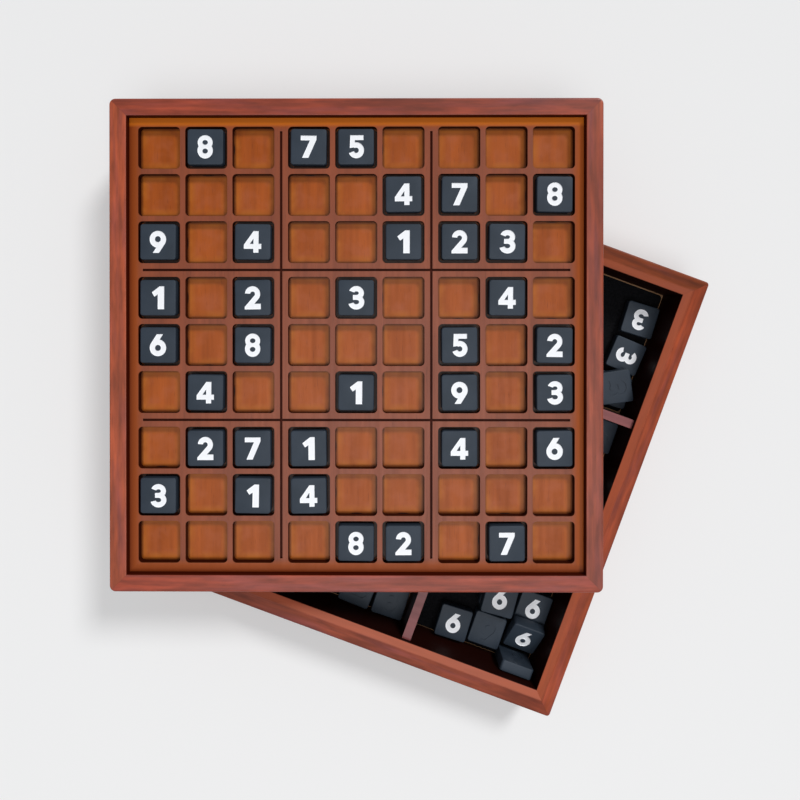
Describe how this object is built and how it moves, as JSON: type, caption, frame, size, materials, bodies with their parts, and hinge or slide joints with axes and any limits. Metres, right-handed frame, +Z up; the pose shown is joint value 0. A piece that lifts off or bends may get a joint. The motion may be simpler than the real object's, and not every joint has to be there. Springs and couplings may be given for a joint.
{
  "type": "sudoku board",
  "caption": "Square wooden sudoku board with a grid of tile pockets, swivelling on a corner pin over a divided storage box, with double-faced number tiles",
  "frame": {"origin": "centre of the box's flat underside, on the surface that it stands on", "axes": "+Z up; X to the right and Y away along the board's sides, so that the numbers read upright from -Y; the board is swung open about +Z, with the box turned below it"},
  "size_m": [0.3264, 0.3334, 0.053],
  "materials": {
    "frame_wood": "stained hardwood, satin lacquer",
    "grid_wood": "stained hardwood, satin lacquer",
    "floor_wood": "stained veneer, satin lacquer",
    "base_wood": "pale plywood, bare",
    "divider_wood": "stained hardwood, matt",
    "tile_plastic": "moulded ABS, fine matt texture",
    "felt": "short black felt",
    "washer_nylon": "natural nylon",
    "pin_steel": "ground steel dowel"
  },
  "bodies": {
    "box": {"box_rail_front": "frame_wood", "box_rail_right": "frame_wood", "box_rail_back": "frame_wood", "box_rail_left": "frame_wood", "base_panel": "base_wood", "compartment_felts": "felt", "dividers": "divider_wood", "box_pivot_block": "frame_wood", "pivot_washer": "washer_nylon", "spare_tiles_1": "tile_plastic", "spare_tiles_2": "tile_plastic", "spare_tiles_3": "tile_plastic", "spare_tiles_4": "tile_plastic", "spare_tiles_5": "tile_plastic", "spare_tiles_6": "tile_plastic", "spare_tiles_7": "tile_plastic", "spare_tiles_8": "tile_plastic", "spare_tiles_9": "tile_plastic"},
    "board": {"board_rail_front": "frame_wood", "board_rail_right": "frame_wood", "board_rail_back": "frame_wood", "board_rail_left": "frame_wood", "board_pivot_block": "frame_wood", "pocket_floor": "floor_wood", "pocket_grid": "grid_wood", "pivot_pin": "pin_steel"},
    "tile_8_row1_col2": {"tile_8_row1_col2": "tile_plastic"},
    "tile_7_row1_col4": {"tile_7_row1_col4": "tile_plastic"},
    "tile_5_row1_col5": {"tile_5_row1_col5": "tile_plastic"},
    "tile_4_row2_col6": {"tile_4_row2_col6": "tile_plastic"},
    "tile_7_row2_col7": {"tile_7_row2_col7": "tile_plastic"},
    "tile_8_row2_col9": {"tile_8_row2_col9": "tile_plastic"},
    "tile_9_row3_col1": {"tile_9_row3_col1": "tile_plastic"},
    "tile_4_row3_col3": {"tile_4_row3_col3": "tile_plastic"},
    "tile_1_row3_col6": {"tile_1_row3_col6": "tile_plastic"},
    "tile_2_row3_col7": {"tile_2_row3_col7": "tile_plastic"},
    "tile_3_row3_col8": {"tile_3_row3_col8": "tile_plastic"},
    "tile_1_row4_col1": {"tile_1_row4_col1": "tile_plastic"},
    "tile_2_row4_col3": {"tile_2_row4_col3": "tile_plastic"},
    "tile_3_row4_col5": {"tile_3_row4_col5": "tile_plastic"},
    "tile_4_row4_col8": {"tile_4_row4_col8": "tile_plastic"},
    "tile_6_row5_col1": {"tile_6_row5_col1": "tile_plastic"},
    "tile_8_row5_col3": {"tile_8_row5_col3": "tile_plastic"},
    "tile_5_row5_col7": {"tile_5_row5_col7": "tile_plastic"},
    "tile_2_row5_col9": {"tile_2_row5_col9": "tile_plastic"},
    "tile_4_row6_col2": {"tile_4_row6_col2": "tile_plastic"},
    "tile_1_row6_col5": {"tile_1_row6_col5": "tile_plastic"},
    "tile_9_row6_col7": {"tile_9_row6_col7": "tile_plastic"},
    "tile_3_row6_col9": {"tile_3_row6_col9": "tile_plastic"},
    "tile_2_row7_col2": {"tile_2_row7_col2": "tile_plastic"},
    "tile_7_row7_col3": {"tile_7_row7_col3": "tile_plastic"},
    "tile_1_row7_col4": {"tile_1_row7_col4": "tile_plastic"},
    "tile_4_row7_col7": {"tile_4_row7_col7": "tile_plastic"},
    "tile_6_row7_col9": {"tile_6_row7_col9": "tile_plastic"},
    "tile_3_row8_col1": {"tile_3_row8_col1": "tile_plastic"},
    "tile_1_row8_col3": {"tile_1_row8_col3": "tile_plastic"},
    "tile_4_row8_col4": {"tile_4_row8_col4": "tile_plastic"},
    "tile_8_row9_col5": {"tile_8_row9_col5": "tile_plastic"},
    "tile_2_row9_col6": {"tile_2_row9_col6": "tile_plastic"},
    "tile_7_row9_col8": {"tile_7_row9_col8": "tile_plastic"}
  },
  "joints": [
    {"name": "board_swivel", "type": "hinge", "parent": "box", "child": "board", "pos_m": [-0.1348, -0.06229, 0.03], "axis": [0, 0, 1], "range_deg": [-20.2, 69.8]},
    {"name": "lift_tile_8_row1_col2", "type": "slide", "parent": "board", "child": "tile_8_row1_col2", "axis": [0, 0, 1], "range_m": [0, 0.02]},
    {"name": "lift_tile_7_row1_col4", "type": "slide", "parent": "board", "child": "tile_7_row1_col4", "axis": [0, 0, 1], "range_m": [0, 0.02]},
    {"name": "lift_tile_5_row1_col5", "type": "slide", "parent": "board", "child": "tile_5_row1_col5", "axis": [0, 0, 1], "range_m": [0, 0.02]},
    {"name": "lift_tile_4_row2_col6", "type": "slide", "parent": "board", "child": "tile_4_row2_col6", "axis": [0, 0, 1], "range_m": [0, 0.02]},
    {"name": "lift_tile_7_row2_col7", "type": "slide", "parent": "board", "child": "tile_7_row2_col7", "axis": [0, 0, 1], "range_m": [0, 0.02]},
    {"name": "lift_tile_8_row2_col9", "type": "slide", "parent": "board", "child": "tile_8_row2_col9", "axis": [0, 0, 1], "range_m": [0, 0.02]},
    {"name": "lift_tile_9_row3_col1", "type": "slide", "parent": "board", "child": "tile_9_row3_col1", "axis": [0, 0, 1], "range_m": [0, 0.02]},
    {"name": "lift_tile_4_row3_col3", "type": "slide", "parent": "board", "child": "tile_4_row3_col3", "axis": [0, 0, 1], "range_m": [0, 0.02]},
    {"name": "lift_tile_1_row3_col6", "type": "slide", "parent": "board", "child": "tile_1_row3_col6", "axis": [0, 0, 1], "range_m": [0, 0.02]},
    {"name": "lift_tile_2_row3_col7", "type": "slide", "parent": "board", "child": "tile_2_row3_col7", "axis": [0, 0, 1], "range_m": [0, 0.02]},
    {"name": "lift_tile_3_row3_col8", "type": "slide", "parent": "board", "child": "tile_3_row3_col8", "axis": [0, 0, 1], "range_m": [0, 0.02]},
    {"name": "lift_tile_1_row4_col1", "type": "slide", "parent": "board", "child": "tile_1_row4_col1", "axis": [0, 0, 1], "range_m": [0, 0.02]},
    {"name": "lift_tile_2_row4_col3", "type": "slide", "parent": "board", "child": "tile_2_row4_col3", "axis": [0, 0, 1], "range_m": [0, 0.02]},
    {"name": "lift_tile_3_row4_col5", "type": "slide", "parent": "board", "child": "tile_3_row4_col5", "axis": [0, 0, 1], "range_m": [0, 0.02]},
    {"name": "lift_tile_4_row4_col8", "type": "slide", "parent": "board", "child": "tile_4_row4_col8", "axis": [0, 0, 1], "range_m": [0, 0.02]},
    {"name": "lift_tile_6_row5_col1", "type": "slide", "parent": "board", "child": "tile_6_row5_col1", "axis": [0, 0, 1], "range_m": [0, 0.02]},
    {"name": "lift_tile_8_row5_col3", "type": "slide", "parent": "board", "child": "tile_8_row5_col3", "axis": [0, 0, 1], "range_m": [0, 0.02]},
    {"name": "lift_tile_5_row5_col7", "type": "slide", "parent": "board", "child": "tile_5_row5_col7", "axis": [0, 0, 1], "range_m": [0, 0.02]},
    {"name": "lift_tile_2_row5_col9", "type": "slide", "parent": "board", "child": "tile_2_row5_col9", "axis": [0, 0, 1], "range_m": [0, 0.02]},
    {"name": "lift_tile_4_row6_col2", "type": "slide", "parent": "board", "child": "tile_4_row6_col2", "axis": [0, 0, 1], "range_m": [0, 0.02]},
    {"name": "lift_tile_1_row6_col5", "type": "slide", "parent": "board", "child": "tile_1_row6_col5", "axis": [0, 0, 1], "range_m": [0, 0.02]},
    {"name": "lift_tile_9_row6_col7", "type": "slide", "parent": "board", "child": "tile_9_row6_col7", "axis": [0, 0, 1], "range_m": [0, 0.02]},
    {"name": "lift_tile_3_row6_col9", "type": "slide", "parent": "board", "child": "tile_3_row6_col9", "axis": [0, 0, 1], "range_m": [0, 0.02]},
    {"name": "lift_tile_2_row7_col2", "type": "slide", "parent": "board", "child": "tile_2_row7_col2", "axis": [0, 0, 1], "range_m": [0, 0.02]},
    {"name": "lift_tile_7_row7_col3", "type": "slide", "parent": "board", "child": "tile_7_row7_col3", "axis": [0, 0, 1], "range_m": [0, 0.02]},
    {"name": "lift_tile_1_row7_col4", "type": "slide", "parent": "board", "child": "tile_1_row7_col4", "axis": [0, 0, 1], "range_m": [0, 0.02]},
    {"name": "lift_tile_4_row7_col7", "type": "slide", "parent": "board", "child": "tile_4_row7_col7", "axis": [0, 0, 1], "range_m": [0, 0.02]},
    {"name": "lift_tile_6_row7_col9", "type": "slide", "parent": "board", "child": "tile_6_row7_col9", "axis": [0, 0, 1], "range_m": [0, 0.02]},
    {"name": "lift_tile_3_row8_col1", "type": "slide", "parent": "board", "child": "tile_3_row8_col1", "axis": [0, 0, 1], "range_m": [0, 0.02]},
    {"name": "lift_tile_1_row8_col3", "type": "slide", "parent": "board", "child": "tile_1_row8_col3", "axis": [0, 0, 1], "range_m": [0, 0.02]},
    {"name": "lift_tile_4_row8_col4", "type": "slide", "parent": "board", "child": "tile_4_row8_col4", "axis": [0, 0, 1], "range_m": [0, 0.02]},
    {"name": "lift_tile_8_row9_col5", "type": "slide", "parent": "board", "child": "tile_8_row9_col5", "axis": [0, 0, 1], "range_m": [0, 0.02]},
    {"name": "lift_tile_2_row9_col6", "type": "slide", "parent": "board", "child": "tile_2_row9_col6", "axis": [0, 0, 1], "range_m": [0, 0.02]},
    {"name": "lift_tile_7_row9_col8", "type": "slide", "parent": "board", "child": "tile_7_row9_col8", "axis": [0, 0, 1], "range_m": [0, 0.02]}
  ]
}
